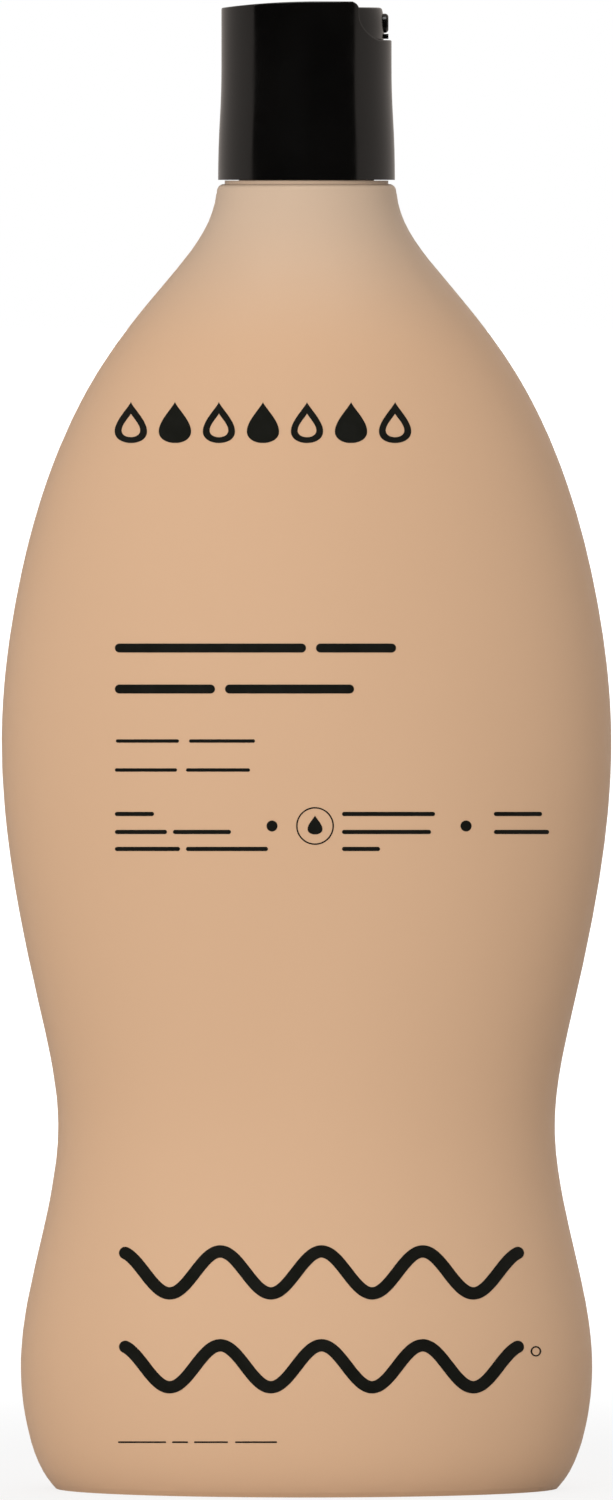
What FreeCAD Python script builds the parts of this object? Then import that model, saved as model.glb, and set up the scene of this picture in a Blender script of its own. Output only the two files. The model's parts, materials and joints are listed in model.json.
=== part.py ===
import FreeCAD, Part
import math
import os
import re

import Sketcher

# Dish soap bottle: an oval blow-moulded bottle with a 24 mm screw neck, and a
# press-tilt disc closure on it. Millimetres, +Z up, origin at the middle of the
# base, +X to the side that the spout points to, -Y to the printed front.

Vector = FreeCAD.Vector

# Stations of the bottle's outside, from the table up. Each is an oval: its rise
# above the station below it, its width along X and its depth along Y.
STATIONS = (
    ("foot", 0.8, 81.7, 56.4),
    ("heel", 3.2, 85.6, 59.6),
    ("low_side", 7.0, 89.8, 62.4),
    ("hip", 10.0, 91.4, 63.4),
    ("over_hip", 15.0, 86.7, 61.3),
    ("under_waist", 11.0, 81.8, 59.1),
    ("waist", 11.0, 79.4, 58.2),
    ("over_waist", 20.0, 85.8, 61.0),
    ("under_belly", 22.0, 94.4, 64.6),
    ("belly", 20.0, 97.5, 66.2),
    ("over_belly", 22.0, 93.0, 64.4),
    ("upper_side", 20.0, 82.5, 59.4),
    ("shoulder", 17.0, 66.4, 51.2),
    ("slope", 15.0, 43.5, 38.0),
    ("throat", 9.0, 31.0, 30.0),
)

# The other driving sizes, each set by itself.
SIZES = (
    ("ledge_rise", 5.8, "throat to the flat ledge round the neck"),
    ("ledge_step", 1.25, "transfer ring to the ledge's rim"),
    ("ledge_round", 1.15, "round of the ledge's rim"),
    ("ledge_wall", 1.6, "wall under the ledge"),
    ("side_wall", 1.0, "blown wall"),
    ("base_wall", 1.6, "thicker wall in the base"),
    ("foot_lean", 0.7, "how far the edge under the foot leans in"),
    ("standing_ring", 7.0, "width of the ring that the bottle stands on"),
    ("push_up", 2.2, "height of the pushed-up base"),
    ("push_up_lean", 3.5, "how far its side leans in"),
    ("pinch_length", 34.0, "pinched-off seam under the base, along X"),
    ("pinch_width", 0.8, "width of the seam"),
    ("pinch_height", 0.4, "how far the seam stands down"),
    ("neck_bore", 9.0, "way through the neck"),
    ("neck_wall", 1.8, "wall of the neck, under the thread"),
    ("neck_height", 16.5, "ledge to lip"),
    ("lip_round", 0.5, "outer round of the lip"),
    ("ring_step", 2.3, "transfer ring, out from the neck"),
    ("ring_height", 0.55, "transfer ring, up from the ledge"),
    ("liner_gap", 0.7, "foam ring to the skirt's bore"),
    ("liner_lap", 2.8, "foam ring, in over the neck's bore"),
    ("liner_thick", 1.0, "foam ring, squeezed"),
    ("skirt_gap", 0.1, "transfer ring to the closure's lower edge"),
    ("thread_room", 1.5, "neck to the skirt's bore, where the thread runs"),
    ("skirt_wall", 1.85, "wall of the skirt at its lower edge"),
    ("skirt_rise", 10.0, "height over which the skirt bends in"),
    ("skirt_lean", 0.3, "how far it leans in over that height"),
    ("taper_rise", 8.0, "height over which it straightens up again"),
    ("crown_wall", 0.95, "wall round the well"),
    ("lead_in", 0.6, "chamfer at the skirt's mouth"),
    ("deck_thick", 1.2, "floor between neck and disc"),
    ("well_depth", 10.4, "deck to the rim's high side"),
    ("rim_flat", 2.0, "where the rim starts to fall, from the middle"),
    ("rim_bend", 128.0, "radius that the rim falls away on, towards the back"),
    ("rim_round", 0.24, "outer round of the rim and of the notch"),
    ("notch_inset", 2.3, "side of the spout's notch, in from the well's side"),
    ("notch_depth", 6.1, "rim's high side to the notch's sill"),
    ("notch_corner", 4.0, "lower corners of the notch"),
    ("notch_brow", 1.4, "round from the rim into the notch"),
    ("brow_lift", 0.14, "how far it is lifted, so that it meets the rim at an angle"),
    ("pivot_rise", 6.2, "deck to the disc's pivot axis"),
    ("press_tilt", 25.0, "how far the disc tilts, in degrees"),
    ("disc_gap", 0.2, "disc's edge to the well's wall"),
    ("disc_drop", 0.9, "disc's top below the rim's high side"),
    ("plate_thick", 1.2, "disc's plate"),
    ("plate_round", 0.5, "round of the disc's top edge"),
    ("edge_wall", 1.0, "wall round the disc's edge"),
    ("edge_reach", 0.7, "edge wall, down past the pivot"),
    ("apron_reach", 5.0, "front apron, down past the pivot"),
    ("apron_angle", 112.0, "how far the apron reaches round, in degrees"),
    ("ball_radius", 3.9, "ball of the valve"),
    ("ball_gap", 0.15, "clearance between ball and cup"),
    ("cup_wall", 1.15, "wall of the cup over the ball's sphere"),
    ("cup_mouth", 0.2, "cup's mouth below the notch's sill"),
    ("port_radius", 0.7, "holes that meet when the disc is tilted"),
    ("feed_radius", 2.2, "wide part of the feed hole in the deck"),
    ("feed_depth", 2.0, "deck's lower face to the narrow part"),
    ("channel_rise", 0.8, "spout's axis over the pivot"),
    ("channel_radius", 0.75, "bore of the spout"),
    ("spout_radius", 1.55, "outside of the spout"),
    ("spout_stand", 0.65, "how far the spout's tip stands out of the disc's edge"),
    ("spout_round", 0.55, "round of the spout's tip"),
    ("pin_radius", 1.0, "pivot pins"),
    ("pin_gap", 0.1, "radial clearance of the pins"),
    ("pin_bite", 0.35, "how far each pin reaches into the well's wall"),
    ("pin_end_gap", 0.15, "clearance at each pin's tip"),
    ("lug_radius", 0.4, "stop lug that rests over the notch's sill"),
    ("lug_gap", 0.2, "clearance under the lug"),
    ("dish_offset", 6.4, "thumb dish, back from the middle"),
    ("dish_sphere", 24.0, "sphere that the dish is cut with"),
    ("dish_depth", 0.35, "depth of the thumb dish"),
)

# Places that several pieces share, worked out from the sizes.
WORKED_OUT = {
    "ledge_z": " + ".join(f"{name}_rise" for name, *_ in STATIONS) + " + ledge_rise",
    "lip_z": "ledge_z + neck_height",
    "neck_radius": "neck_bore + neck_wall",
    "ring_radius": "neck_radius + ring_step",
    "ledge_radius": "ring_radius + ledge_step",
    "skirt_z": "ledge_z + ring_height + skirt_gap",
    "skirt_bore": "neck_radius + thread_room",
    "skirt_radius": "skirt_bore + skirt_wall",
    "skirt_bend": "(skirt_rise^2 + skirt_lean^2) / (2 * skirt_lean)",
    "taper_bend": "skirt_bend * taper_rise / skirt_rise",
    "crown_radius": "skirt_radius - skirt_lean * (1 + taper_rise / skirt_rise)",
    "well_radius": "crown_radius - crown_wall",
    "notch_half": "well_radius - notch_inset",
    "deck_z": "lip_z + liner_thick",
    "floor_z": "deck_z + deck_thick",
    "rim_z": "floor_z + well_depth",
    "sill_z": "rim_z - notch_depth",
    "pivot_z": "floor_z + pivot_rise",
    "plate_z": "rim_z - disc_drop",
    "plate_under_z": "plate_z - plate_thick",
    "spout_z": "pivot_z + channel_rise",
    "cup_sphere": "ball_radius + ball_gap",
    "cup_radius": "cup_sphere + cup_wall",
    "cup_mouth_z": "sill_z - cup_mouth",
    "port_offset": "ball_radius * sin(press_tilt * 1deg)",
    "disc_sphere": "well_radius - disc_gap",
    "spout_reach": "disc_sphere + spout_stand",
    "pin_reach": "well_radius + pin_bite",
    "liner_radius": "skirt_bore - liner_gap",
    "liner_hole": "neck_bore - liner_lap",
}

# Sides of an arc's centre, in place of the coordinate that the arc gives a corner.
LEFT, RIGHT, UNDER, OVER = "left", "right", "under", "over"
SIDES = {LEFT: -1, RIGHT: 1, UNDER: -1, OVER: 1}

doc = FreeCAD.newDocument("SoapBottle")
sheet = doc.addObject("Spreadsheet::Sheet", "Sizes")


def fill_sheet():
    rows = []
    for name, rise, width, depth in STATIONS:
        rows.append((f"{name}_rise", rise, f"{name}: rise above the station below"))
        rows.append((f"{name}_width", width, f"{name}: width along X"))
        rows.append((f"{name}_depth", depth, f"{name}: depth along Y"))
    rows.extend(SIZES)
    for row, (name, size, note) in enumerate(rows, start=1):
        sheet.set(f"A{row}", name)
        sheet.set(f"B{row}", str(size))
        sheet.set(f"C{row}", note)
        sheet.setAlias(f"B{row}", name)
    doc.recompute()


def spelt_out(formula):
    """A formula with worked-out names put in and the sheet's names in full."""

    def spell(match):
        word = match[0]
        if word in WORKED_OUT:
            return f"({spelt_out(WORKED_OUT[word])})"
        return f"Sizes.{word}" if sheet.getCellFromAlias(word) else word

    return re.sub(r"\b[a-z]\w*", spell, formula)


def number(formula):
    return float(sheet.evalExpression(spelt_out(formula)))


def bind(obj, target, formula):
    obj.setExpression(target, spelt_out(formula))


def new_body(label):
    body = doc.addObject("PartDesign::Body", label)
    body.Label = label
    return body


def new_sketch(body, name, role, lift="0"):
    """A sketch on an origin plane of its own body, lifted off it by a formula."""
    sketch = body.newObject("Sketcher::SketchObject", f"{body.Name}_{name}")
    plane = next(item for item in body.Origin.OriginFeatures if item.Role == role)
    sketch.AttachmentSupport = [(plane, "")]
    sketch.MapMode = "FlatFace"
    bind(sketch, "AttachmentOffset.Base.z", lift)
    return sketch


def add_rule(sketch, formula, kind, *places):
    """A dimension of the sketch, bound to a formula."""
    rule = sketch.addConstraint(Sketcher.Constraint(kind, *places, number(formula)))
    bind(sketch, f"Constraints[{rule}]", formula)


def place_point(sketch, curve, point, x, y):
    """Ties a point to its two coordinates. One that an arc gives stays free."""
    for kind, axis, formula in (("DistanceX", -2, x), ("DistanceY", -1, y)):
        if formula in SIDES:
            continue
        if formula == "0":
            sketch.addConstraint(Sketcher.Constraint("PointOnObject", curve, point, axis))
        elif number(formula) < 0:
            add_rule(sketch, f"-({formula})", kind, curve, point, -1, 1)
        else:
            add_rule(sketch, formula, kind, -1, 1, curve, point)


def oval(body, name, lift, width, depth):
    """An ellipse across the bottle's axis."""
    sketch = new_sketch(body, name, "XY_Plane", lift)
    end_x = Vector(number(width) / 2, 0, 0)
    end_y = Vector(0, number(depth) / 2, 0)
    curve = sketch.addGeometry(Part.Ellipse(end_x, end_y, Vector(0, 0, 0)))
    sketch.exposeInternalGeometry(curve)
    major, minor = curve + 1, curve + 2
    sketch.addConstraint(Sketcher.Constraint("Coincident", curve, 3, -1, 1))
    sketch.addConstraint(Sketcher.Constraint("Horizontal", major))
    add_rule(sketch, width, "Distance", major)
    add_rule(sketch, depth, "Distance", minor)
    return sketch


def circle(body, name, role, lift, radius, x="0", y="0"):
    sketch = new_sketch(body, name, role, lift)
    centre = Vector(number(x), number(y), 0)
    curve = sketch.addGeometry(Part.Circle(centre, Vector(0, 0, 1), number(radius)))
    place_point(sketch, curve, 3, x, y)
    add_rule(sketch, radius, "Radius", curve)
    return sketch


def corner_point(corner, arc):
    """Where a corner lies. A coordinate that names a side is worked out from the arc."""
    x, y = corner
    if x in SIDES:
        level = number(y)
        mid_x, mid_y, radius = (number(part) for part in arc)
        return Vector(mid_x + SIDES[x] * math.sqrt(radius**2 - (level - mid_y) ** 2), level, 0)
    offset = number(x)
    if y in SIDES:
        mid_x, mid_y, radius = (number(part) for part in arc)
        return Vector(offset, mid_y + SIDES[y] * math.sqrt(radius**2 - (offset - mid_x) ** 2), 0)
    return Vector(offset, number(y), 0)


def outline(body, name, corners, role="XZ_Plane", lift="0", arcs=None, smooth=()):
    """A closed outline of straight sides and arcs.

    A corner is a pair of formulas, or of a formula and the side of an arc's centre
    that it lies on. arcs holds, under the number of a side's first corner, the
    arc's centre and radius. An arc named in smooth carries on from the side before
    it without a corner, which gives it its centre and radius.
    """
    arcs = arcs or {}
    sketch = new_sketch(body, name, role, lift)
    points = []
    for index, corner in enumerate(corners):
        arc = arcs[index] if index in arcs else arcs.get(index - 1)
        points.append(corner_point(corner, arc))
    sides = []
    for index, start in enumerate(points):
        end = points[(index + 1) % len(points)]
        if index in arcs:
            mid_x, mid_y, radius = (number(part) for part in arcs[index])
            ring = Part.Circle(Vector(mid_x, mid_y, 0), Vector(0, 0, 1), radius)
            from_angle = math.atan2(start.y - mid_y, start.x - mid_x)
            to_angle = math.atan2(end.y - mid_y, end.x - mid_x)
            sweep = math.remainder(to_angle - from_angle, 2 * math.pi)
            first_angle = from_angle if sweep > 0 else to_angle
            arc = Part.ArcOfCircle(ring, first_angle, first_angle + abs(sweep))
            sides.append((sketch.addGeometry(arc), *((1, 2) if sweep > 0 else (2, 1))))
        else:
            sides.append((sketch.addGeometry(Part.LineSegment(start, end)), 1, 2))
    for index, (curve, _, last) in enumerate(sides):
        following, first, _ = sides[(index + 1) % len(sides)]
        kind = "Tangent" if index + 1 in smooth else "Coincident"
        sketch.addConstraint(Sketcher.Constraint(kind, curve, last, following, first))
    for (x, y), (curve, first, _) in zip(corners, sides):
        place_point(sketch, curve, first, x, y)
    for index, (mid_x, mid_y, radius) in arcs.items():
        if index in smooth:
            continue
        curve = sides[index][0]
        place_point(sketch, curve, 3, mid_x, mid_y)
        add_rule(sketch, radius, "Radius", curve)
    return sketch


def loft(body, kind, name, sections):
    feature = body.newObject(f"PartDesign::{kind}Loft", f"{body.Name}_{name}")
    feature.Profile = sections[0]
    feature.Sections = sections[1:]
    return feature


def turned(body, name, sketch, angle="360"):
    """A revolution about the upright axis, half of its angle to each side of +X."""
    feature = body.newObject("PartDesign::Revolution", f"{body.Name}_{name}")
    feature.Profile = sketch
    feature.ReferenceAxis = (sketch, ["V_Axis"])
    feature.Midplane = angle != "360"
    bind(feature, "Angle", angle)
    return feature


def extruded(body, name, sketch, length, kind="Pad", midplane=False, turned_round=False):
    """A pad, or a pocket, which leaves its sketch against the plane's normal."""
    feature = body.newObject(f"PartDesign::{kind}", f"{body.Name}_{name}")
    feature.Profile = sketch
    feature.Midplane = midplane
    feature.Reversed = turned_round
    bind(feature, "Length", length)
    return feature


def edge_points(edge):
    first, last = edge.ParameterRange
    return [edge.valueAt(first + (last - first) * step / 4) for step in range(5)]


def rounded(body, name, picks, radius):
    """A fillet on the edges that picks accepts, of the body as built so far."""
    doc.recompute()
    base = body.Tip
    edges = [
        f"Edge{count}"
        for count, edge in enumerate(base.Shape.Edges, start=1)
        if not edge.Degenerated and picks(edge_points(edge))
    ]
    if not edges:
        raise ValueError(f"{body.Label}: no edge for {name}")
    feature = body.newObject("PartDesign::Fillet", f"{body.Name}_{name}")
    feature.Base = (base, edges)
    bind(feature, "Radius", radius)
    return feature


def near(one, other, reach=0.01):
    return abs(one - other) < reach


def from_axis(point):
    return math.hypot(point.x, point.y)


def ring_edge(height, radius):
    level = number(height)
    size = number(radius)
    return lambda points: all(
        near(point.z, level) and near(from_axis(point), size) for point in points
    )


# Bottle


def make_bottle():
    body = new_body("bottle")
    heights = [
        " + ".join(f"{name}_rise" for name, *_ in STATIONS[: count + 1])
        for count in range(len(STATIONS))
    ]
    outside = [
        oval(body, f"outside_{name}", height, f"{name}_width", f"{name}_depth")
        for (name, *_), height in zip(STATIONS, heights)
    ]
    under_ledge = "ledge_z - ledge_round"
    outside.append(circle(body, "outside_ledge", "XY_Plane", under_ledge, "ledge_radius"))
    loft(body, "Additive", "outside", outside)
    make_foot(body)
    make_neck(body)
    make_cavity(body, heights)
    make_push_up(body)
    return body


def make_foot(body):
    """The narrow sloping edge between the side and the table."""
    top = oval(body, "foot_top", "foot_rise", "foot_width", "foot_depth")
    base = oval(body, "foot_base", "0", "foot_width - 2 * foot_lean", "foot_depth - 2 * foot_lean")
    loft(body, "Additive", "foot", [base, top])


def make_neck(body):
    under_ledge = "ledge_z - ledge_round"
    corners = (
        ("0", under_ledge),
        (RIGHT, under_ledge),
        ("ledge_radius - ledge_round", OVER),
        ("ring_radius", "ledge_z"),
        ("ring_radius", "ledge_z + ring_height"),
        ("neck_radius", "ledge_z + ring_height"),
        ("neck_radius", "lip_z"),
        ("0", "lip_z"),
    )
    ledge = {1: ("ledge_radius - ledge_round", under_ledge, "ledge_round")}
    turned(body, "neck", outline(body, "neck_outline", corners, arcs=ledge))
    rounded(body, "lip_round", ring_edge("lip_z", "neck_radius"), "lip_round")


def make_cavity(body, heights):
    """The room inside keeps a wall's thickness from the outside."""
    inside = []
    for (name, *_), height in zip(STATIONS, heights):
        lift = height if inside else "base_wall"
        width = f"{name}_width - 2 * side_wall"
        depth = f"{name}_depth - 2 * side_wall"
        inside.append(oval(body, f"inside_{name}", lift, width, depth))
    collar = circle(body, "inside_collar", "XY_Plane", "ledge_z - ledge_wall", "neck_bore")
    loft(body, "Subtractive", "inside", [*inside, collar])
    mouth = circle(body, "mouth", "XY_Plane", "lip_z", "neck_bore")
    extruded(body, "bore", mouth, "neck_height + 2 * ledge_wall", "Pocket")


def make_push_up(body):
    """The base is pushed up inside its standing ring, and the wall follows it inside.

    The seam where the mould pinched the plastic off runs across it.
    """
    for kind, name, grown, low, high in (
        ("Additive", "push_up_inside", "base_wall", "base_wall / 2", "push_up + base_wall"),
        ("Subtractive", "push_up", "0", "0", "push_up"),
    ):
        width = f"foot_width - 2 * (standing_ring - {grown})"
        depth = f"foot_depth - 2 * (standing_ring - {grown})"
        lean = "2 * push_up_lean"
        sections = [
            oval(body, f"{name}_low", low, width, depth),
            oval(body, f"{name}_high", high, f"{width} - {lean}", f"{depth} - {lean}"),
        ]
        loft(body, kind, name, sections)
    corners = (
        ("-pinch_length / 2", "-pinch_width / 2"),
        ("pinch_length / 2", "-pinch_width / 2"),
        ("pinch_length / 2", "pinch_width / 2"),
        ("-pinch_length / 2", "pinch_width / 2"),
    )
    seam = outline(body, "pinch_outline", corners, "XY_Plane", "push_up - pinch_height")
    extruded(body, "pinch", seam, "pinch_height + base_wall / 2")


# Foam ring between the neck's lip and the closure's deck


def make_seal_liner():
    body = new_body("seal_liner")
    corners = (
        ("liner_hole", "lip_z"),
        ("liner_radius", "lip_z"),
        ("liner_radius", "deck_z"),
        ("liner_hole", "deck_z"),
    )
    turned(body, "ring", outline(body, "section", corners))
    return body


# Closure: skirt, deck with the valve's cup, and the well for the disc


def make_cap_body():
    body = new_body("cap_body")
    corners = (
        ("feed_radius", "deck_z"),
        ("skirt_bore", "deck_z"),
        ("skirt_bore", "skirt_z + lead_in"),
        ("skirt_bore + lead_in", "skirt_z"),
        (RIGHT, "skirt_z"),
        (LEFT, "skirt_z + skirt_rise"),
        ("crown_radius", "skirt_z + skirt_rise + taper_rise"),
        ("crown_radius", "rim_z"),
        ("well_radius", "rim_z"),
        ("well_radius", "floor_z"),
        ("cup_radius", "floor_z"),
        ("cup_radius", "cup_mouth_z"),
        (RIGHT, "cup_mouth_z"),
        ("port_radius", UNDER),
        ("port_radius", "deck_z + feed_depth"),
        ("feed_radius", "deck_z + feed_depth"),
    )
    taper_top = "skirt_z + skirt_rise + taper_rise"
    arcs = {
        4: ("skirt_radius - skirt_bend", "skirt_z", "skirt_bend"),
        5: ("crown_radius + taper_bend", taper_top, "taper_bend"),
        12: ("0", "pivot_z", "cup_sphere"),
    }
    wall = outline(body, "wall_outline", corners, arcs=arcs, smooth=(5,))
    turned(body, "wall", wall)
    cut_rim_fall(body)
    cut_notch(body)
    rounded(body, "rim_round", outer_rim_edge, "min(rim_round; crown_wall / 2)")
    cut_pin_sockets(body)
    return body


def cut_rim_fall(body):
    """The rim falls away in a gentle arc towards the back, where the thumb comes in."""
    corners = (
        ("-skirt_radius", OVER),
        ("rim_flat", OVER),
        ("rim_flat", "rim_z + rim_round"),
        ("-skirt_radius", "rim_z + rim_round"),
    )
    bend = {0: ("rim_flat", "rim_z - rim_bend", "rim_bend")}
    cut = outline(body, "rim_fall_outline", corners, arcs=bend)
    extruded(body, "rim_fall", cut, "2 * skirt_radius", "Pocket", midplane=True)


def outer_rim_edge(points):
    """The rim's outer edge, down round the notch and up again."""
    low = number("sill_z") - 0.01
    size = number("crown_radius")
    if not all(point.z > low and near(from_axis(point), size) for point in points):
        return False
    upright = near(points[0].x, points[-1].x) and near(points[0].y, points[-1].y)
    return not upright or points[0].x > 0


def cut_notch(body):
    """The spout's notch in the front wall, with round lower corners."""
    corners = (
        (LEFT, "sill_z + notch_corner"),
        ("-(notch_half - notch_corner)", UNDER),
        ("notch_half - notch_corner", UNDER),
        (RIGHT, "sill_z + notch_corner"),
        (LEFT, "rim_z - notch_brow + brow_lift"),
        ("notch_half + notch_brow", OVER),
        ("-(notch_half + notch_brow)", OVER),
        (RIGHT, "rim_z - notch_brow + brow_lift"),
    )
    level = "sill_z + notch_corner"
    brow = "rim_z - notch_brow + brow_lift"
    arcs = {
        0: ("-(notch_half - notch_corner)", level, "notch_corner"),
        2: ("notch_half - notch_corner", level, "notch_corner"),
        4: ("notch_half + notch_brow", brow, "notch_brow"),
        6: ("-(notch_half + notch_brow)", brow, "notch_brow"),
    }
    cut = outline(body, "notch_outline", corners, "YZ_Plane", "0", arcs)
    extruded(body, "notch", cut, "crown_radius", "Pocket", turned_round=True)


def cut_pin_sockets(body):
    """Blind sockets for the pivot pins, cut from inside into the well's wall."""
    socket = circle(body, "socket", "XZ_Plane", "0", "pin_radius + pin_gap", y="pivot_z")
    extruded(body, "sockets", socket, "2 * (pin_reach + pin_end_gap)", "Pocket", midplane=True)


# Disc: plate, edge wall, front apron, ball, spout, pins and stop lug


def make_press_disc():
    body = new_body("press_disc")
    sphere = ("0", "pivot_z", "disc_sphere")
    inner_sphere = ("0", "pivot_z", "disc_sphere - edge_wall")
    corners = (
        ("0", "plate_under_z"),
        (RIGHT, "plate_under_z"),
        (RIGHT, "pivot_z - edge_reach"),
        (RIGHT, "pivot_z - edge_reach"),
        (RIGHT, "plate_z"),
        ("0", "plate_z"),
    )
    shell = outline(body, "plate_outline", corners, arcs={1: inner_sphere, 3: sphere})
    turned(body, "plate", shell)
    rounded(body, "plate_round", top_edge, "plate_round")
    corners = (
        (RIGHT, "pivot_z + edge_reach"),
        (RIGHT, "pivot_z - apron_reach"),
        (RIGHT, "pivot_z - apron_reach"),
        (RIGHT, "pivot_z + edge_reach"),
    )
    apron = outline(body, "apron_outline", corners, arcs={0: inner_sphere, 2: sphere})
    turned(body, "apron", apron, "apron_angle")
    add_ball(body)
    add_spout(body)
    add_pins(body)
    add_stop_lug(body)
    cut_thumb_dish(body)
    return body


def top_edge(points):
    level = number("plate_z")
    return all(near(point.z, level) for point in points)


def add_ball(body):
    """The ball closes the cup, and its port meets the cup's when the disc is tilted."""
    corners = (
        ("0", UNDER),
        (RIGHT, "pivot_z"),
        ("ball_radius", "plate_under_z + plate_thick / 2"),
        ("0", "plate_under_z + plate_thick / 2"),
    )
    ball = outline(body, "ball_outline", corners, arcs={0: ("0", "pivot_z", "ball_radius")})
    turned(body, "ball", ball)


def add_spout(body):
    tube = circle(body, "spout_circle", "YZ_Plane", "0", "spout_radius", y="spout_z")
    extruded(body, "spout", tube, "spout_reach")
    rounded(body, "spout_round", spout_tip, "spout_round")
    channel = circle(
        body, "channel_circle", "YZ_Plane", "-port_offset", "channel_radius", y="spout_z"
    )
    reach = "port_offset + spout_reach + spout_round"
    extruded(body, "channel", channel, reach, "Pocket", turned_round=True)
    port = circle(body, "port_circle", "XY_Plane", "spout_z", "port_radius", x="-port_offset")
    extruded(body, "port", port, "channel_rise + ball_radius", "Pocket")


def spout_tip(points):
    return all(near(point.x, number("spout_reach")) for point in points)


def add_pins(body):
    """A pivot pin on each side, from inside the edge wall out into its socket."""
    root = "disc_sphere - edge_wall"
    for name, lift, turned_round in (
        ("front_pin", f"{root}", False),
        ("back_pin", f"-({root})", True),
    ):
        pin = circle(body, f"{name}_circle", "XZ_Plane", lift, "pin_radius", y="pivot_z")
        extruded(body, name, pin, f"pin_reach - ({root})", turned_round=turned_round)


def add_stop_lug(body):
    """The lug stops the closed disc on the notch's sill."""
    root = "disc_sphere - edge_wall"
    height = "sill_z + lug_gap + lug_radius"
    lug = circle(body, "lug_circle", "YZ_Plane", root, "lug_radius", y=height)
    extruded(body, "lug", lug, f"spout_reach - ({root})")


def cut_thumb_dish(body):
    dish = body.newObject("PartDesign::SubtractiveSphere", f"{body.Name}_thumb_dish")
    bind(dish, "Radius", "dish_sphere")
    bind(dish, "Placement.Base.x", "-dish_offset")
    bind(dish, "Placement.Base.z", "plate_z - dish_depth + dish_sphere")


def check(pieces):
    """Stops with a plain message where any object of the document failed."""
    for item in doc.Objects:
        if "Invalid" in item.State or "Error" in item.State:
            raise RuntimeError(f"{item.Name} failed: {item.State}")
    for piece in pieces:
        shape = piece.Shape
        if shape.isNull() or not shape.isValid() or len(shape.Solids) != 1:
            raise RuntimeError(f"{piece.Label} isn't one valid solid")


fill_sheet()
PIECES = (make_bottle(), make_seal_liner(), make_cap_body(), make_press_disc())
doc.recompute()
check(PIECES)
os.makedirs("parts", exist_ok=True)
for piece in PIECES:
    piece.Shape.exportStep(f"parts/{piece.Label}.step")
    print(piece.Label, round(piece.Shape.Volume / 1000, 2), "cm3")
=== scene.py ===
import json
import math

import bmesh
import bpy
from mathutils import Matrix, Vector
from mathutils.bvhtree import BVHTree


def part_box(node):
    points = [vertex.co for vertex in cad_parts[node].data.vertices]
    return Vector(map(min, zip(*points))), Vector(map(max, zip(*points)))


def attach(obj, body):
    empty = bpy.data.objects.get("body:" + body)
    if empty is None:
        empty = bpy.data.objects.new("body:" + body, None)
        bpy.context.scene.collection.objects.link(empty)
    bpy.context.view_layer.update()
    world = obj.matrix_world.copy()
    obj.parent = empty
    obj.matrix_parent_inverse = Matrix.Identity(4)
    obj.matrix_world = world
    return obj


# Looks of a dish soap bottle: satin tan bottle with dark print, glossy black
# closure, and the screw thread under it. Metres, in the frame's own axes.

MM = 0.001

# The photograph: its frame in pixels, and where the bottle stands in it.
PHOTO_WIDTH = 613
PHOTO_HEIGHT = 1500
PIXEL = 0.16 * MM
AXIS_COLUMN = 306.5
BASE_ROW = 1489.0

# Camera: far off and level with the neck.
EYE_HEIGHT = 0.209
EYE_DISTANCE = 3.8
SENSOR = 36.0
CLIP_START = 0.1
CLIP_END = 200

# Colours, linear.
TAN = (0.700, 0.444, 0.273)
TAN_DEEP = (0.680, 0.428, 0.261)
# Painted sheen: the paler tan towards the neck, standing in for light from above on the
# shoulders.
NECK_SHEEN_TAN = (0.640, 0.468, 0.334)
BLACK = (0.0022, 0.0020, 0.0018)
BLACK_PALE = (0.0034, 0.0031, 0.0028)
INK = (0.0080, 0.0082, 0.0060)
INK_PALE = (0.0105, 0.0105, 0.0082)
FOAM = (0.78, 0.78, 0.74)
FOAM_PALE = (0.86, 0.86, 0.83)
FLOOR = (0.47, 0.47, 0.47)


def row_height(row):
    return (BASE_ROW - row) * PIXEL


def column_place(column):
    return (column - AXIS_COLUMN) * PIXEL


# Materials


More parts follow.
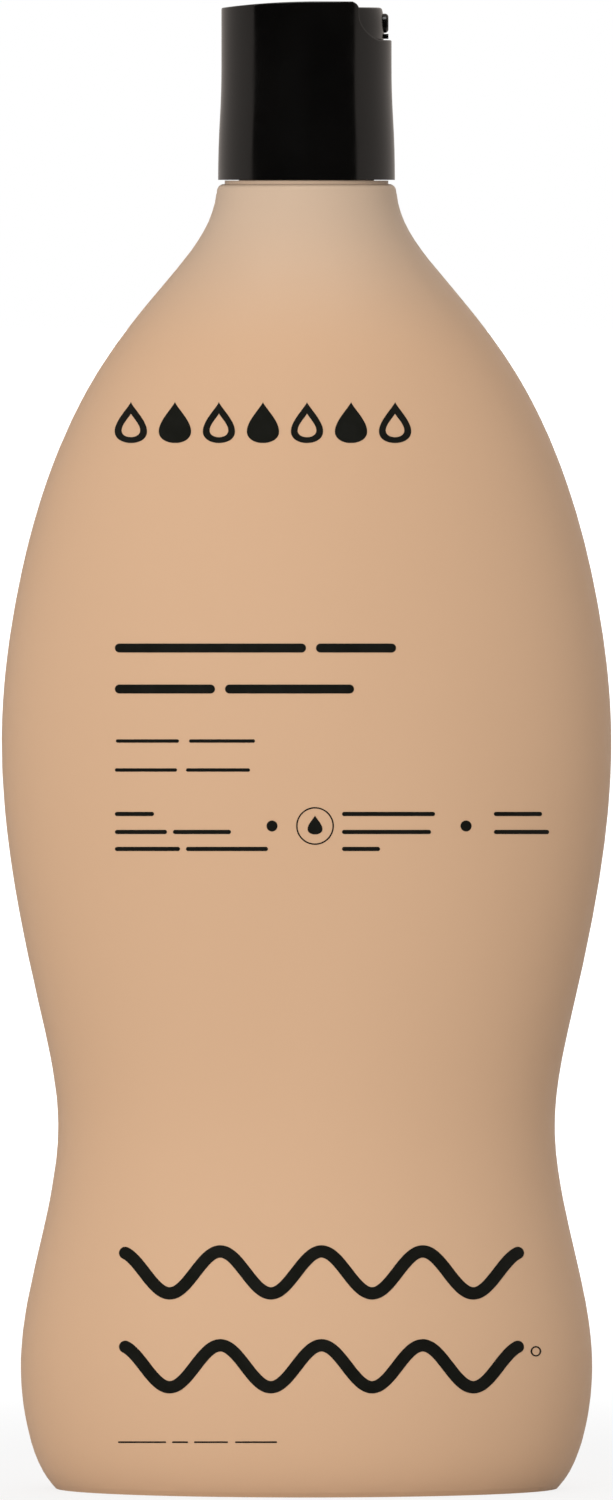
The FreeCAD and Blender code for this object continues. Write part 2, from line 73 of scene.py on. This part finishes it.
class Tree:
    """A node material under construction."""

    def __init__(self, name):
        self.material = bpy.data.materials.new(name)
        self.material.use_nodes = True
        self.nodes = self.material.node_tree.nodes
        self.links = self.material.node_tree.links
        self.shader = self.nodes["Principled BSDF"]
        self.place = self.nodes.new("ShaderNodeTexCoord").outputs["Object"]

    def link(self, start, end):
        self.links.new(start, end)

    def noise(self, size, detail=2.0, stretch=(1.0, 1.0, 1.0)):
        """Noise whose features are about size metres across."""
        mapping = self.nodes.new("ShaderNodeMapping")
        mapping.inputs["Scale"].default_value = stretch
        noise = self.nodes.new("ShaderNodeTexNoise")
        noise.inputs["Scale"].default_value = 1 / size
        noise.inputs["Detail"].default_value = detail
        self.link(self.place, mapping.inputs["Vector"])
        self.link(mapping.outputs["Vector"], noise.inputs["Vector"])
        return noise.outputs["Fac"]

    def spread(self, factor, low, high, start=0.3, end=0.7):
        """Maps the middle of a noise's range, or another stretch, to low and high."""
        scaled = self.nodes.new("ShaderNodeMapRange")
        scaled.interpolation_type = "SMOOTHSTEP"
        scaled.inputs["From Min"].default_value = start
        scaled.inputs["From Max"].default_value = end
        scaled.inputs["To Min"].default_value = low
        scaled.inputs["To Max"].default_value = high
        self.link(factor, scaled.inputs["Value"])
        return scaled.outputs["Result"]

    def blend(self, factor, one, other):
        """One colour, or a colour made before, to the other."""
        mix = self.nodes.new("ShaderNodeMix")
        mix.data_type = "RGBA"
        tints = [socket for socket in mix.inputs if socket.type == "RGBA"]
        for socket, tint in zip(tints, (one, other)):
            if isinstance(tint, tuple):
                socket.default_value = (*tint, 1)
            else:
                self.link(tint, socket)
        self.link(factor, mix.inputs["Factor"])
        return next(socket for socket in mix.outputs if socket.type == "RGBA")

    def colour(self, tint):
        self.link(tint, self.shader.inputs["Base Color"])

    def roughness(self, factor, low, high):
        self.link(self.spread(factor, low, high), self.shader.inputs["Roughness"])

    def height(self):
        parts = self.nodes.new("ShaderNodeSeparateXYZ")
        self.link(self.place, parts.inputs["Vector"])
        return parts.outputs["Z"]

    def bump(self, height, depth, over=None):
        bump = self.nodes.new("ShaderNodeBump")
        bump.inputs["Strength"].default_value = 1.0
        bump.inputs["Distance"].default_value = depth
        self.link(height, bump.inputs["Height"])
        if over is not None:
            self.link(over, bump.inputs["Normal"])
        self.link(bump.outputs["Normal"], self.shader.inputs["Normal"])
        return bump.outputs["Normal"]


# Heights between which the bottle's tan pales towards the neck, as a painted sheen of the
# light from above on the shoulders.
SHEEN_FROM = 0.180
SHEEN_TO = 0.209


def satin_plastic():
    """Blown polyethylene: satin, with faint flow, a fine blasted grain, and a painted sheen
    that pales it towards the neck.
    """
    tree = Tree("bottle_satin")
    flow = tree.spread(tree.noise(60 * MM, stretch=(1, 1, 0.35)), 0, 1)
    # Painted sheen: the tan pales towards the neck as if lit from above.
    sheen = tree.spread(tree.height(), 0, 1, SHEEN_FROM, SHEEN_TO)
    tree.colour(tree.blend(sheen, tree.blend(flow, TAN_DEEP, TAN), NECK_SHEEN_TAN))
    tree.roughness(tree.noise(4 * MM, 3.0), 0.42, 0.50)
    waves = tree.bump(tree.noise(9 * MM), 0.012 * MM)
    tree.bump(tree.noise(0.35 * MM), 0.0022 * MM, waves)
    tree.shader.inputs["Specular IOR Level"].default_value = 0.25
    return tree.material


def glossy_plastic(name):
    """Moulded polypropylene: dark and glossy, with the faint waves of its cooling."""
    tree = Tree(name)
    tree.colour(tree.blend(tree.spread(tree.noise(14 * MM), 0, 1), BLACK, BLACK_PALE))
    tree.roughness(tree.noise(2.5 * MM, 3.0), 0.12, 0.18)
    waves = tree.bump(tree.noise(6 * MM, 1.0, (1, 1, 0.4)), 0.010 * MM)
    tree.bump(tree.noise(0.5 * MM), 0.0006 * MM, waves)
    tree.shader.inputs["IOR"].default_value = 1.5
    return tree.material


def screen_ink():
    tree = Tree("print_ink")
    tree.colour(tree.blend(tree.spread(tree.noise(3 * MM), 0, 1), INK, INK_PALE))
    tree.roughness(tree.noise(0.8 * MM), 0.40, 0.50)
    tree.bump(tree.noise(0.25 * MM), 0.002 * MM)
    tree.shader.inputs["Specular IOR Level"].default_value = 0.08
    return tree.material


def foam():
    tree = Tree("liner_foam")
    tree.colour(tree.blend(tree.spread(tree.noise(1.2 * MM), 0, 1), FOAM, FOAM_PALE))
    tree.roughness(tree.noise(0.6 * MM), 0.75, 0.9)
    tree.bump(tree.noise(0.4 * MM, 3.0), 0.03 * MM)
    return tree.material


def dress(node, material):
    """Gives a CAD node its material."""
    mesh = frame["nodes"][node].data
    mesh.materials.clear()
    mesh.materials.append(material)


# Stage

FLOOR_HALF = 30.0
FLOOR_GLOW = 1.33
SHADOW_REACH = 0.10
WHITE_REACH = 0.80
SHADOW_SHARE = 0.6


def pale_floor():
    """Pale, and white to the camera but for the bottle's shadow round its foot.

    Reflections see the studio through it, so the closure's front stays dark.
    """
    mesh = bpy.data.meshes.new("floor")
    corners = [(x, y, 0) for x, y in ((-1, -1), (1, -1), (1, 1), (-1, 1))]
    mesh.from_pydata([Vector(corner) * FLOOR_HALF for corner in corners], [], [(0, 1, 2, 3)])
    floor = bpy.data.objects.new("floor", mesh)
    bpy.context.scene.collection.objects.link(floor)
    tree = Tree("floor")
    tree.nodes.remove(tree.shader)
    diffuse = tree.nodes.new("ShaderNodeBsdfDiffuse")
    diffuse.inputs["Color"].default_value = (*FLOOR, 1)
    glow = tree.nodes.new("ShaderNodeEmission")
    glow.inputs["Strength"].default_value = FLOOR_GLOW
    away = tree.nodes.new("ShaderNodeVectorMath")
    away.operation = "LENGTH"
    tree.link(tree.place, away.inputs[0])
    white = tree.spread(away.outputs["Value"], SHADOW_SHARE, 1, SHADOW_REACH, WHITE_REACH)
    share = calculation(tree, "MULTIPLY", seen_directly(tree), white)
    mix = tree.nodes.new("ShaderNodeMixShader")
    tree.link(share, mix.inputs["Fac"])
    tree.link(diffuse.outputs["BSDF"], mix.inputs[1])
    tree.link(glow.outputs["Emission"], mix.inputs[2])
    path = tree.nodes.new("ShaderNodeLightPath")
    clear = tree.nodes.new("ShaderNodeBsdfTransparent")
    final = tree.nodes.new("ShaderNodeMixShader")
    tree.link(path.outputs["Is Glossy Ray"], final.inputs["Fac"])
    tree.link(mix.outputs["Shader"], final.inputs[1])
    tree.link(clear.outputs["BSDF"], final.inputs[2])
    tree.link(final.outputs["Shader"], tree.nodes["Material Output"].inputs["Surface"])
    mesh.materials.append(tree.material)


def calculation(tree, operation, one, other):
    """A Math node on two sockets or numbers."""
    node = tree.nodes.new("ShaderNodeMath")
    node.operation = operation
    for socket, given in zip(node.inputs, (one, other)):
        if isinstance(given, (int, float)):
            socket.default_value = given
        else:
            tree.link(given, socket)
    return node.outputs["Value"]


def seen_directly(tree):
    path = tree.nodes.new("ShaderNodeLightPath")
    camera = path.outputs["Is Camera Ray"]
    return calculation(tree, "MAXIMUM", camera, path.outputs["Is Transmission Ray"])


class Sky:
    """The world's node tree, with the same helpers as a material's."""

    def __init__(self):
        world = bpy.data.worlds.new("studio")
        bpy.context.scene.world = world
        world.use_nodes = True
        self.nodes = world.node_tree.nodes
        self.links = world.node_tree.links
        self.nodes.remove(self.nodes["Background"])

    def link(self, start, end):
        self.links.new(start, end)

    def plain(self, tint, strength):
        node = self.nodes.new("ShaderNodeBackground")
        node.inputs["Color"].default_value = (*tint, 1)
        if isinstance(strength, (int, float)):
            node.inputs["Strength"].default_value = strength
        else:
            self.link(strength, node.inputs["Strength"])
        return node.outputs["Background"]

    def choose(self, factor, one, other):
        node = self.nodes.new("ShaderNodeMixShader")
        self.link(factor, node.inputs["Fac"])
        self.link(one, node.inputs[1])
        self.link(other, node.inputs[2])
        return node.outputs["Shader"]


# Studio: plain light from all round, weaker from above, and white to the camera.
# Reflections show a dark room in front with a bright panel high in it, and pale
# walls beside and behind.
AMBIENT = 0.785
AMBIENT_DROP = -0.32
WALL = (1.0, 0.90, 0.83)
WALL_LEVEL = 0.50
ROOM = (0.003, 0.003, 0.003)
PANEL_LEVEL = 4.0
PANEL_LOW = math.sin(math.radians(50))
PANEL_HIGH = math.sin(math.radians(82))
DARK_LEFT = math.radians(76)
DARK_RIGHT = math.radians(69)


def between(tree, socket, low, high):
    """One where a number is between two others, and zero elsewhere."""
    over = calculation(tree, "GREATER_THAN", socket, low)
    under = calculation(tree, "LESS_THAN", socket, high)
    return calculation(tree, "MULTIPLY", over, under)


def studio_world():
    sky = Sky()
    place = sky.nodes.new("ShaderNodeTexCoord")
    parts = sky.nodes.new("ShaderNodeSeparateXYZ")
    sky.link(place.outputs["Generated"], parts.inputs["Vector"])
    to_right, to_back, up = (parts.outputs[axis] for axis in "XYZ")
    drop = calculation(sky, "MULTIPLY", up, AMBIENT_DROP)
    ambient = sky.plain((1, 1, 1), calculation(sky, "ADD", drop, AMBIENT))
    to_front = calculation(sky, "MULTIPLY", to_back, -1.0)
    turn = calculation(sky, "ARCTAN2", to_right, to_front)
    in_front = between(sky, turn, -DARK_LEFT, DARK_RIGHT)
    on_panel = between(sky, up, PANEL_LOW, PANEL_HIGH)
    front = sky.choose(on_panel, sky.plain(ROOM, 1.0), sky.plain((1, 1, 1), PANEL_LEVEL))
    reflected = sky.choose(in_front, sky.plain(WALL, WALL_LEVEL), front)
    path = sky.nodes.new("ShaderNodeLightPath")
    indirect = sky.choose(path.outputs["Is Glossy Ray"], ambient, reflected)
    final = sky.choose(seen_directly(sky), indirect, sky.plain((1, 1, 1), 1.0))
    sky.link(final, sky.nodes["World Output"].inputs["Surface"])


# Softboxes, unseen in reflections: name, azimuth from the front towards +X,
# elevation, distance, width, height and power.
SOFTBOXES = (
    ("front_fill", -18, 5, 2.6, 1.8, 0.8, 40.0),
    ("back_fill", 168, 12, 2.6, 1.8, 1.4, 30.0),
)
AIM = Vector((0, 0, 0.12))


def softboxes():
    for name, azimuth, elevation, distance, width, height, power in SOFTBOXES:
        turn, rise = math.radians(azimuth), math.radians(elevation)
        level = math.cos(rise)
        away = Vector((math.sin(turn) * level, -math.cos(turn) * level, math.sin(rise)))
        light = bpy.data.lights.new(name, "AREA")
        light.shape = "RECTANGLE"
        light.size = width
        light.size_y = height
        light.energy = power
        lamp = bpy.data.objects.new(name, light)
        lamp.location = AIM + away * distance
        lamp.rotation_mode = "QUATERNION"
        lamp.rotation_quaternion = away.to_track_quat("Z", "Y")
        lamp.visible_camera = False
        lamp.visible_glossy = False
        bpy.context.scene.collection.objects.link(lamp)


def photo_camera():
    data = bpy.data.cameras.new("camera")
    data.sensor_width = SENSOR
    data.lens = SENSOR * EYE_DISTANCE / (PHOTO_HEIGHT * PIXEL)
    data.clip_start = CLIP_START
    data.clip_end = CLIP_END
    camera = bpy.data.objects.new("camera", data)
    middle_x = column_place(PHOTO_WIDTH / 2)
    camera.location = (middle_x, -EYE_DISTANCE, EYE_HEIGHT)
    aim = Vector((middle_x, 0, row_height(PHOTO_HEIGHT / 2)))
    camera.rotation_mode = "QUATERNION"
    camera.rotation_quaternion = (aim - camera.location).to_track_quat("-Z", "Y")
    bpy.context.scene.collection.objects.link(camera)
    bpy.context.scene.camera = camera


# Meshes

SHARP_FROM = math.radians(35)


def add_piece(name, skins, material, body):
    """One piece of several closed skins, smooth but for its sharp edges."""
    shape = bmesh.new()
    for points, faces in skins:
        corners = [shape.verts.new(point) for point in points]
        for face in faces:
            shape.faces.new([corners[number] for number in face])
    bmesh.ops.recalc_face_normals(shape, faces=shape.faces)
    mesh = bpy.data.meshes.new(name)
    shape.to_mesh(mesh)
    shape.free()
    mesh.materials.append(material)
    mesh.shade_smooth()
    mesh.set_sharp_from_angle(angle=SHARP_FROM)
    piece = bpy.data.objects.new(name, mesh)
    bpy.context.scene.collection.objects.link(piece)
    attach(piece, body)


def swept(sections, closed=False):
    """A skin over sections of equally many points, with flat ends unless closed."""
    count = len(sections[0])
    points = [point for section in sections for point in section]
    faces = []
    for row in range(len(sections) if closed else len(sections) - 1):
        start = row * count
        after = (row + 1) % len(sections) * count
        for step in range(count):
            turn = (step + 1) % count
            faces.append((start + step, start + turn, after + turn, after + step))
    if not closed:
        faces.append(tuple(range(count)))
        faces.append(tuple(range(len(points) - count, len(points))))
    return points, faces


def surface_of(node):
    """The node's mesh, to cast rays at."""
    mesh = frame["nodes"][node].data
    corners = [vertex.co for vertex in mesh.vertices]
    return BVHTree.FromPolygons(corners, [polygon.vertices for polygon in mesh.polygons])


# Print: flat marks, drawn where the photograph's lie, in its pixels. A mark is a
# row of lines across it, and whether it closes on itself.

INK_PROUD = 0.06 * MM
INK_ROOT = 0.04 * MM
FINE = 2.5
CAP_END = math.radians(84)
CAP_STEPS = 7


def across(centre, side, parts):
    """Points on a line through a centre, to one side's reach and back."""
    return [centre + side * (2 * step / parts - 1) for step in range(parts + 1)]


def stroke(path, width, closed=False):
    """A stroke of even width along a path, with round ends."""
    half = width / 2
    parts = max(2, math.ceil(width / FINE))
    rows = []
    for index, point in enumerate(path):
        before = path[index - 1] if index or closed else point
        after = path[(index + 1) % len(path)] if index + 1 < len(path) or closed else point
        ahead = (after - before).normalized() if after != before else Vector((1, 0))
        rows.append((point, ahead, half))
    if not closed:
        rows = round_end(rows[0], -1)[::-1] + rows + round_end(rows[-1], 1)
    lines = []
    for point, ahead, reach in rows:
        side = Vector((-ahead.y, ahead.x)) * reach
        lines.append(across(point, side, parts))
    return lines, closed


def round_end(row, way):
    """Rows of a stroke's round end, outwards."""
    point, ahead, half = row
    rows = []
    for step in range(1, CAP_STEPS + 1):
        turn = CAP_END * step / CAP_STEPS
        place = point + ahead * (way * half * math.sin(turn))
        rows.append((place, ahead, half * math.cos(turn)))
    return rows


def dot(column, row, radius):
    return stroke([Vector((column, row))], 2 * radius)


def spaced(start, end, step):
    """Evenly spaced numbers from start to end, about a step apart."""
    count = max(1, round((end - start) / step))
    return [start + (end - start) * index / count for index in range(count + 1)]


def bar(left, right, row, width):
    columns = spaced(left + width / 2, right - width / 2, FINE)
    return stroke([Vector((column, row)) for column in columns], width)


def ring(column, row, radius, width):
    centre = Vector((column, row))
    path = []
    for turn in spaced(0, math.tau, FINE / radius)[:-1]:
        path.append(centre + Vector((math.cos(turn), math.sin(turn))) * radius)
    return stroke(path, width, closed=True)


def wave(left, right, row, rise, length, width):
    """A wave along a row, which starts at a crest."""
    path = [
        Vector((column, row - rise * math.cos(math.tau * (column - left) / length)))
        for column in spaced(left + width / 2, right - width / 2, FINE / 2)
    ]
    return stroke(path, width)


# A drop's half width and the middle of its bulb, as shares of its height, how
# slim its tip is, and the step round its outline.
DROP_HALF = 0.56
DROP_BULB = 0.16
DROP_SLIM = 1.5
DROP_STEP = 0.1
DROP_PARTS = 8
HOLLOW_STEP = 0.12
HOLLOW_PARTS = 3


def drop_point(turn, size):
    """A drop's outline at an angle round it, from the tip, off the drop's middle."""
    side = DROP_HALF * size * math.sin(turn) * abs(math.sin(turn / 2)) ** DROP_SLIM
    return Vector((side, -0.5 * size * math.cos(turn)))


def drop(column, row, size):
    """A filled drop with its tip up."""
    centre = Vector((column, row))
    lines = []
    for turn in spaced(0, math.pi, DROP_STEP)[1:-1]:
        edge = drop_point(turn, size)
        lines.append(across(centre + Vector((0, edge.y)), Vector((edge.x, 0)), DROP_PARTS))
    return lines, False


def hollow_drop(column, row, size, inner):
    """A drop's outline, drawn out at its tip."""
    centre = Vector((column, row))
    bulb = Vector((0, DROP_BULB * size))
    parts = range(HOLLOW_PARTS + 1)
    lines = []
    for turn in spaced(0, math.tau, HOLLOW_STEP)[:-1]:
        outside = drop_point(turn, size)
        inside = bulb + (outside - bulb) * inner
        lines.append([centre + inside.lerp(outside, part / HOLLOW_PARTS) for part in parts])
    return lines, True


def front_point(pixel):
    """Where the line of sight through a pixel meets the bottle, and the normal there."""
    target = Vector((column_place(pixel.x), 0, row_height(pixel.y)))
    eye = bpy.context.scene.camera.location
    place, normal, _, _ = bottle_surface.ray_cast(eye, (target - eye).normalized())
    return place, normal


def inked(mark):
    """A mark as a thin skin on the bottle's front."""
    lines, closed = mark
    sections = []
    for line in lines:
        hits = [front_point(pixel) for pixel in line]
        top = [place + normal * INK_PROUD for place, normal in hits]
        root = [place - normal * INK_ROOT for place, normal in reversed(hits)]
        sections.append(top + root)
    return swept(sections, closed)


# Heading: a row of drops.
HEADING_ROW = 422.5
HEADING_SIZE = 41
HEADING_LEFT = 131
HEADING_RIGHT = 395
HEADING_COUNT = 7
HOLLOW = 0.58


def heading():
    step = (HEADING_RIGHT - HEADING_LEFT) / (HEADING_COUNT - 1)
    for count in range(HEADING_COUNT):
        column = HEADING_LEFT + count * step
        if count % 2:
            yield drop(column, HEADING_ROW, HEADING_SIZE)
        else:
            yield hollow_drop(column, HEADING_ROW, HEADING_SIZE, HOLLOW)


# Bars: row, width, and the columns that each runs from and to.
TITLE = (
    (648, 9, ((115, 306), (316, 396))),
    (689, 9, ((115, 215), (225, 354))),
)
SUBTITLE = (
    (741, 3.4, ((116, 179), (189, 255))),
    (770, 3.4, ((115, 177), (186, 250))),
)
NOTES = (
    (814, 4.2, ((115, 154), (342, 435), (494, 542))),
    (832, 4.2, ((115, 167), (173, 231), (342, 431), (494, 549))),
    (849, 4.2, ((115, 180), (186, 268), (342, 380))),
)
FOOTNOTE = ((1443, 1.6, ((118, 166), (172, 188), (194, 228), (235, 277))),)


def bars(table):
    for row, width, runs in table:
        for left, right in runs:
            yield bar(left, right, row, width)


# Between the notes: dots, and a drop in a ring.
DOT_COLUMNS = (272, 466)
DOT_RADIUS = 5.5
SEAL_COLUMN = 315
SEAL_RADIUS = 18.2
SEAL_DROP = 19
NOTES_ROW = 826
THIN_LINE = 1.4


def note_marks():
    for column in DOT_COLUMNS:
        yield dot(column, NOTES_ROW, DOT_RADIUS)
    yield ring(SEAL_COLUMN, NOTES_ROW, SEAL_RADIUS, THIN_LINE)
    yield drop(SEAL_COLUMN, NOTES_ROW - 1, SEAL_DROP)


# Two bold waves, with a bubble at the end of the lower one.
WAVE_ROWS = (1273, 1367)
WAVE_LEFT = 119
WAVE_RIGHT = 524
WAVE_RISE = 21
WAVE_WIDTH = 12.5
WAVE_COUNT = 4
BUBBLE_COLUMN = 536
BUBBLE_ROW = 1352
BUBBLE_RADIUS = 4.6


def waves():
    length = (WAVE_RIGHT - WAVE_LEFT) / WAVE_COUNT
    for row in WAVE_ROWS:
        yield wave(WAVE_LEFT, WAVE_RIGHT, row, WAVE_RISE, length, WAVE_WIDTH)
    yield ring(BUBBLE_COLUMN, BUBBLE_ROW, BUBBLE_RADIUS, THIN_LINE)


def add_print():
    ink = screen_ink()
    for name, marks in (
        ("print_heading", heading()),
        ("print_title", bars(TITLE)),
        ("print_subtitle", bars(SUBTITLE)),
        ("print_notes", [*bars(NOTES), *note_marks()]),
        ("print_waves", waves()),
        ("print_footnote", bars(FOOTNOTE)),
    ):
        add_piece(name, [inked(mark) for mark in marks], ink, "bottle")


# Screw thread: one ridge on the neck, and one in the closure half a pitch below it.

THREAD_TURNS = 1.5
CLOSURE_TURNS = 1.25
THREAD_DROP = 2.2 * MM
THREAD_HEIGHT = 1.15 * MM
THREAD_BITE = 0.05 * MM
ROOT_HALF = 1.0 * MM
CREST_HALF = 0.4 * MM
THREAD_STEPS = 72
FADE_TURNS = 0.1
LEAST_RISE = 0.02


def ridge(radius, height, low, turns, pitch):
    """A right-handed ridge on a round wall, inwards where its height is negative."""
    sections = []
    count = round(turns * THREAD_STEPS)
    bite = math.copysign(THREAD_BITE, height)
    for step in range(count + 1):
        done = step / THREAD_STEPS
        rise = max(LEAST_RISE, min(1, done / FADE_TURNS, (turns - done) / FADE_TURNS))
        middle = low + done * pitch
        sides = (
            (radius - bite, middle - ROOT_HALF),
            (radius + height * rise, middle - CREST_HALF),
            (radius + height * rise, middle + CREST_HALF),
            (radius - bite, middle + ROOT_HALF),
        )
        turn = math.tau * done
        outwards = Vector((math.cos(turn), math.sin(turn), 0))
        sections.append([outwards * out + Vector((0, 0, up)) for out, up in sides])
    return swept(sections)


def add_threads(bottle_plastic, closure_plastic):
    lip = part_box("seal_liner")[0].z
    pitch = frame["record"]["behaviour"]["couplings"][0]["ratio"] * math.tau
    level = Vector((0, 0, lip - THREAD_DROP))
    outside = Vector((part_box("cap_body")[1].x, 0, level.z))
    neck = bottle_surface.ray_cast(outside, Vector((-1, 0, 0)))[0].x
    bore = surface_of("cap_body").ray_cast(level, Vector((1, 0, 0)))[0].x
    low = level.z - THREAD_TURNS * pitch
    skin = ridge(neck, THREAD_HEIGHT, low, THREAD_TURNS, pitch)
    add_piece("neck_thread", [skin], bottle_plastic, "bottle")
    skin = ridge(bore, -THREAD_HEIGHT, low - pitch / 2, CLOSURE_TURNS, pitch)
    add_piece("closure_thread", [skin], closure_plastic, "cap")


# Parting line of the blow mould, up both sides of the bottle.

SEAM_HALF = 0.16 * MM
SEAM_PROUD = 0.05 * MM
SEAM_ROOT = 0.05 * MM
SEAM_LOW = 1.2 * MM
SEAM_STEP = 1.5 * MM
SEAM_TOP_DROP = 2.2 * MM


def side_seam(way):
    """A low ridge on one side, from the foot to under the ledge."""
    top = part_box("cap_body")[0].z - SEAM_TOP_DROP
    sections = []
    for height in spaced(SEAM_LOW, top, SEAM_STEP):
        outside = Vector((way, 0, height))
        place, normal, _, _ = bottle_surface.ray_cast(outside, Vector((-way, 0, 0)))
        place.y = 0
        root = place - normal * SEAM_ROOT
        side = Vector((0, SEAM_HALF, 0))
        sections.append([root - side, place + normal * SEAM_PROUD, root + side])
    return swept(sections)


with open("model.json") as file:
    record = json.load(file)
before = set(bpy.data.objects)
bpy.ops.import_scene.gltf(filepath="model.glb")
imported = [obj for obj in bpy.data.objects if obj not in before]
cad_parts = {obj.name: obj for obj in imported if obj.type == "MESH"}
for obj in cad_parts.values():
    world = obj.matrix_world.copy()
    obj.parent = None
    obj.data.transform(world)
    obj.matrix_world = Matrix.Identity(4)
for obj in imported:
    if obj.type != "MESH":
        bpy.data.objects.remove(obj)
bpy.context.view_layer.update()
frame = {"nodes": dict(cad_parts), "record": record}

photo_camera()
pale_floor()
studio_world()
softboxes()

bottle_plastic = satin_plastic()
closure_plastic = glossy_plastic("closure_gloss")
dress("bottle", bottle_plastic)
dress("seal_liner", foam())
dress("cap_body", closure_plastic)
dress("press_disc", glossy_plastic("disc_gloss"))

bottle_surface = surface_of("bottle")
add_print()
add_threads(bottle_plastic, closure_plastic)
seams = [side_seam(way) for way in (-1, 1)]
add_piece("parting_line", seams, bottle_plastic, "bottle")

bpy.context.scene.view_settings.view_transform = "Standard"
